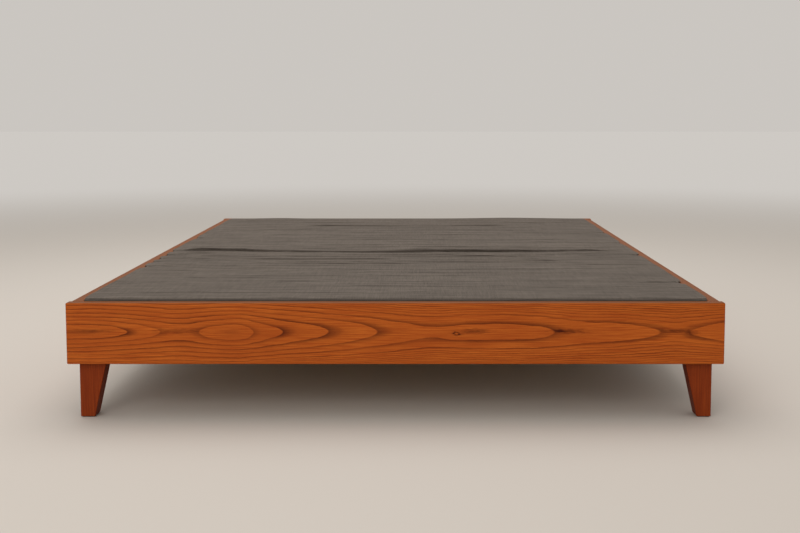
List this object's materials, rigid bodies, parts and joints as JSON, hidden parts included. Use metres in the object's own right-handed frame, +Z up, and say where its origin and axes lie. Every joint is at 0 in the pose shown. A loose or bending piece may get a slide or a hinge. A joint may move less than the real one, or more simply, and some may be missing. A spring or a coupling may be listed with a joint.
{
  "type": "platform bed frame",
  "caption": "Low wooden platform bed frame: two end rails over two side rails, tapered corner legs, slats on ledges and a centre beam, and a cloth cover.",
  "frame": {"origin": "on the floor under the middle of the frame", "axes": "+Z up, +Y towards the head end, +X to the right seen from the foot end"},
  "size_m": [1.55, 2.08, 0.284],
  "materials": {
    "rail_wood": "satin red-brown stained hardwood with a cathedral grain",
    "leg_wood": "satin red-brown stained hardwood, straight grain",
    "slat_wood": "planed unfinished softwood",
    "dowel_wood": "fluted beech, unfinished",
    "cover_cloth": "matte woven taupe-grey cloth",
    "webbing": "woven natural tape",
    "zinc_steel": "zinc-plated",
    "screw_steel": "yellow zinc-plated",
    "insert_brass": "as turned",
    "hanger_steel": "black powder coat",
    "glide_nylon": "brown nylon",
    "pad_plastic": "black nylon"
  },
  "bodies": {
    "frame": {"foot_rail": "rail_wood", "beam_hanger_foot": "hanger_steel", "head_rail": "rail_wood", "beam_hanger_head": "hanger_steel", "side_rail_left": "rail_wood", "slat_ledge_left": "slat_wood", "slat_webbing_left": "webbing", "side_rail_right": "rail_wood", "slat_ledge_right": "slat_wood", "slat_webbing_right": "webbing", "leg_front_left": "leg_wood", "leg_glide_front_left": "glide_nylon", "leg_front_right": "leg_wood", "leg_glide_front_right": "glide_nylon", "leg_rear_left": "leg_wood", "leg_glide_rear_left": "glide_nylon", "leg_rear_right": "leg_wood", "leg_glide_rear_right": "glide_nylon", "leg_bolts": "zinc_steel", "leg_bolt_washers": "zinc_steel", "rail_inserts": "insert_brass", "rail_dowels": "dowel_wood", "ledge_screws": "screw_steel", "hanger_screws": "screw_steel", "centre_beam": "slat_wood", "slat_01": "slat_wood", "slat_02": "slat_wood", "slat_03": "slat_wood", "slat_04": "slat_wood", "slat_05": "slat_wood", "slat_06": "slat_wood", "slat_07": "slat_wood", "slat_08": "slat_wood", "slat_09": "slat_wood", "slat_10": "slat_wood", "slat_11": "slat_wood", "slat_12": "slat_wood", "slat_13": "slat_wood", "slat_14": "slat_wood", "webbing_staples": "screw_steel", "slat_cover": "cover_cloth", "centre_leg_front": "slat_wood", "leveller_insert_front": "zinc_steel", "centre_leg_rear": "slat_wood", "leveller_insert_rear": "zinc_steel", "lap_bolts": "zinc_steel", "lap_nuts": "zinc_steel", "lap_washers": "zinc_steel"},
    "leveller_front": {"leveller_stem_front": "zinc_steel", "leveller_pad_front": "pad_plastic"},
    "leveller_rear": {"leveller_stem_rear": "zinc_steel", "leveller_pad_rear": "pad_plastic"}
  },
  "joints": [
    {"name": "leveller_front_height", "type": "slide", "parent": "frame", "child": "leveller_front", "axis": [0, 0, 1], "range_m": [-0.01, 0.012]},
    {"name": "leveller_rear_height", "type": "slide", "parent": "frame", "child": "leveller_rear", "axis": [0, 0, 1], "range_m": [-0.01, 0.012]}
  ]
}
